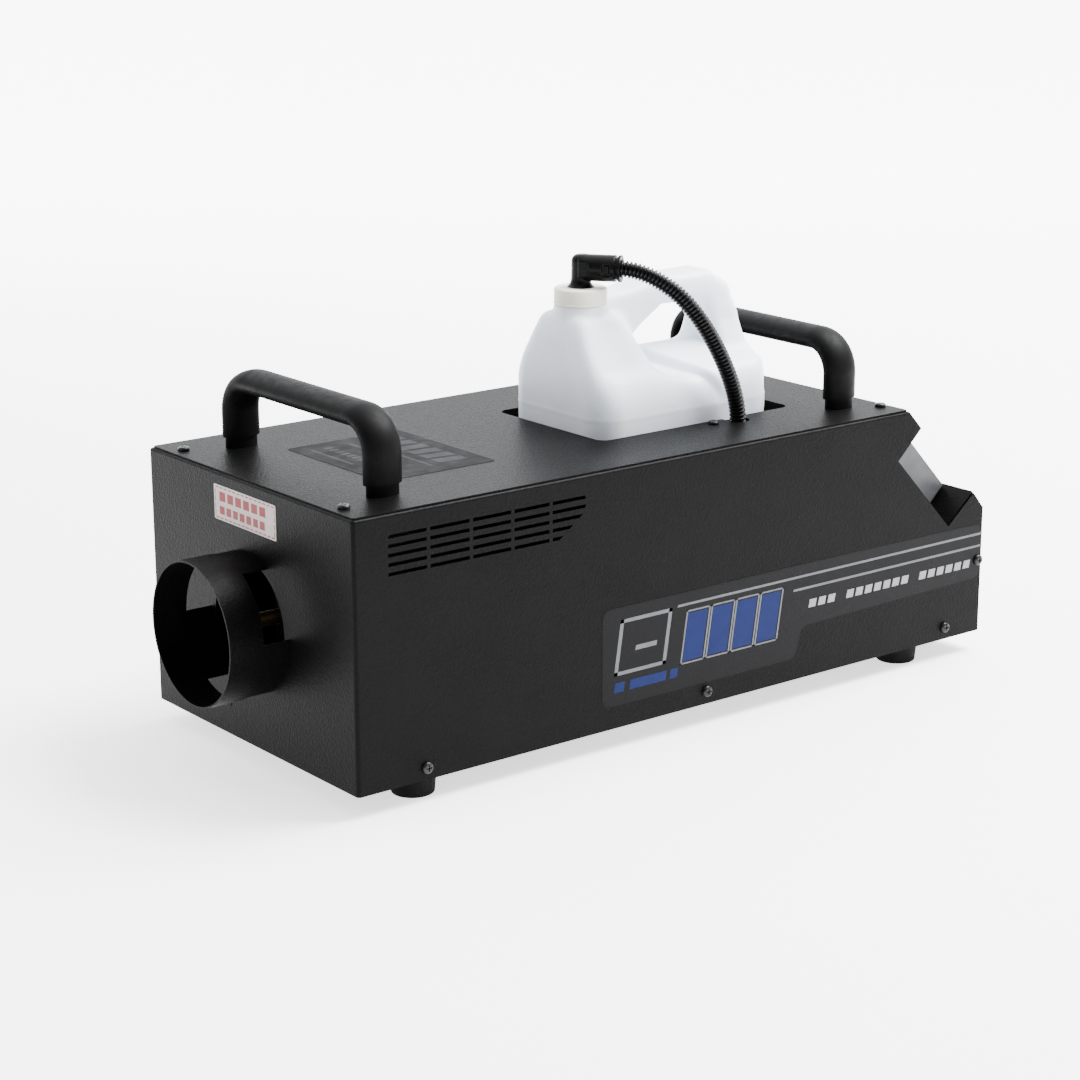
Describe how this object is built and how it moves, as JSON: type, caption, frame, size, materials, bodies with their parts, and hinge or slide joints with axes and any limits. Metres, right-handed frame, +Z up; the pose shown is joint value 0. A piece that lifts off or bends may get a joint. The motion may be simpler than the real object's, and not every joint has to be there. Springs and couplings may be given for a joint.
{
  "type": "fog machine",
  "caption": "Stage fog machine: bent-steel case with front nozzle and duct collar, arched handles, lift-out fluid jug with hose, and a rear-docked control module.",
  "frame": {"origin": "middle of the footprint at the floor", "axes": "X across, -Y is the fog outlet end, +Y the rear, +Z up"},
  "size_m": [0.299, 0.7246, 0.3746],
  "materials": {
    "black_powder_coat": "fine textured matt powder coat",
    "zinc_steel": "zinc plated",
    "black_screw": "black zinc",
    "rubber_black": "matt",
    "grip_black": "matt, smooth",
    "hdpe_jug": "translucent natural",
    "cap_ivory": "satin",
    "black_plastic": "satin",
    "hose_plastic": "semi gloss",
    "brass": "machined",
    "cast_aluminium": "as cast",
    "insulation_wool": "ceramic wool",
    "steel_plain": "plain",
    "board_green": "solder mask",
    "coil_yellow": "tape wrapped",
    "silicone_tube": "clear silicone",
    "switch_red": "translucent red",
    "module_grey": "fine texture",
    "display_dark": "smoked window",
    "key_grey": "silicone",
    "label_film": "printed film"
  },
  "bodies": {
    "case": {"case_wrap": "black_powder_coat", "top_cover": "black_powder_coat", "base_pan": "black_powder_coat", "rear_panel": "black_powder_coat", "tank_well": "black_powder_coat", "front_handle": "grip_black", "rear_handle": "grip_black", "handle_bolts": "zinc_steel", "feet": "rubber_black", "foot_screws": "zinc_steel", "cover_screws": "black_screw", "side_screws": "black_screw", "rear_screws": "black_screw", "duct_collar": "black_powder_coat", "nozzle": "brass", "nozzle_nut": "brass", "heat_exchanger": "cast_aluminium", "heater_rods": "steel_plain", "insulation_upper": "insulation_wool", "insulation_lower": "insulation_wool", "exchanger_jacket": "steel_plain", "exchanger_legs": "zinc_steel", "thermostat": "black_plastic", "pump_body": "black_plastic", "pump_coil": "coil_yellow", "pump_cradle": "zinc_steel", "suction_tube": "silicone_tube", "pressure_tube": "silicone_tube", "hose_socket": "brass", "control_board": "board_green", "board_standoffs": "brass", "transformer": "steel_plain", "fan_frame": "black_plastic", "fan_guard": "black_powder_coat", "power_inlet": "black_plastic", "breaker_body": "black_plastic", "rocker_body": "black_plastic", "data_sockets": "steel_plain", "dock_socket": "black_plastic", "labels": "label_film"},
    "jug": {"jug": "hdpe_jug", "cap_elbow": "black_plastic", "elbow_nut": "black_plastic", "hose": "hose_plastic", "pickup_tube": "silicone_tube", "pickup_filter": "brass"},
    "cap": {"jug_cap": "cap_ivory"},
    "control_module": {"module_back": "module_grey", "module_front": "module_grey", "module_display": "display_dark"},
    "key_1": {"module_key_1": "key_grey"},
    "key_2": {"module_key_2": "key_grey"},
    "key_3": {"module_key_3": "key_grey"},
    "key_4": {"module_key_4": "key_grey"},
    "breaker": {"breaker_button": "switch_red"},
    "rocker": {"power_rocker": "switch_red"},
    "latch": {"socket_latch": "black_plastic"},
    "fan": {"fan_rotor": "black_plastic"},
    "plunger": {"pump_plunger": "steel_plain"}
  },
  "joints": [
    {"name": "jug_lift", "type": "slide", "parent": "case", "child": "jug", "axis": [0, 0, 1], "range_m": [0, 0.15]},
    {"name": "cap_turn", "type": "hinge", "parent": "jug", "child": "cap", "pos_m": [0.0044, 0.01625, 0.338], "axis": [0, 0, 1], "range_deg": [0, 360]},
    {"name": "module_undock", "type": "slide", "parent": "case", "child": "control_module", "axis": [0, 0.7278, 0.6858], "range_m": [0, 0.08]},
    {"name": "key_1_press", "type": "slide", "parent": "control_module", "child": "key_1", "axis": [0, -0.7278, -0.6858], "range_m": [0, 0.0012], "stiffness_N_per_m": 800, "springref_m": -0.0003},
    {"name": "key_2_press", "type": "slide", "parent": "control_module", "child": "key_2", "axis": [0, -0.7278, -0.6858], "range_m": [0, 0.0012], "stiffness_N_per_m": 800, "springref_m": -0.0003},
    {"name": "key_3_press", "type": "slide", "parent": "control_module", "child": "key_3", "axis": [0, -0.7278, -0.6858], "range_m": [0, 0.0012], "stiffness_N_per_m": 800, "springref_m": -0.0003},
    {"name": "key_4_press", "type": "slide", "parent": "control_module", "child": "key_4", "axis": [0, -0.7278, -0.6858], "range_m": [0, 0.0012], "stiffness_N_per_m": 800, "springref_m": -0.0003},
    {"name": "breaker_reset", "type": "slide", "parent": "case", "child": "breaker", "axis": [0, -1, 0], "range_m": [0, 0.002], "stiffness_N_per_m": 1500, "springref_m": -0.0003},
    {"name": "power_rock", "type": "hinge", "parent": "case", "child": "rocker", "pos_m": [-0.068, 0.35685, 0.056], "axis": [1, 0, 0], "range_deg": [0, 14]},
    {"name": "latch_press", "type": "slide", "parent": "case", "child": "latch", "axis": [0, -1, 0], "range_m": [0, 0.0015], "stiffness_N_per_m": 800, "springref_m": -0.0003},
    {"name": "fan_spin", "type": "hinge", "parent": "case", "child": "fan", "pos_m": [0, 0.34535, 0.07], "axis": [0, 1, 0], "continuous": true},
    {"name": "plunger_stroke", "type": "slide", "parent": "case", "child": "plunger", "axis": [0, 1, 0], "range_m": [0, 0.004], "stiffness_N_per_m": 2000, "springref_m": -0.0005}
  ]
}
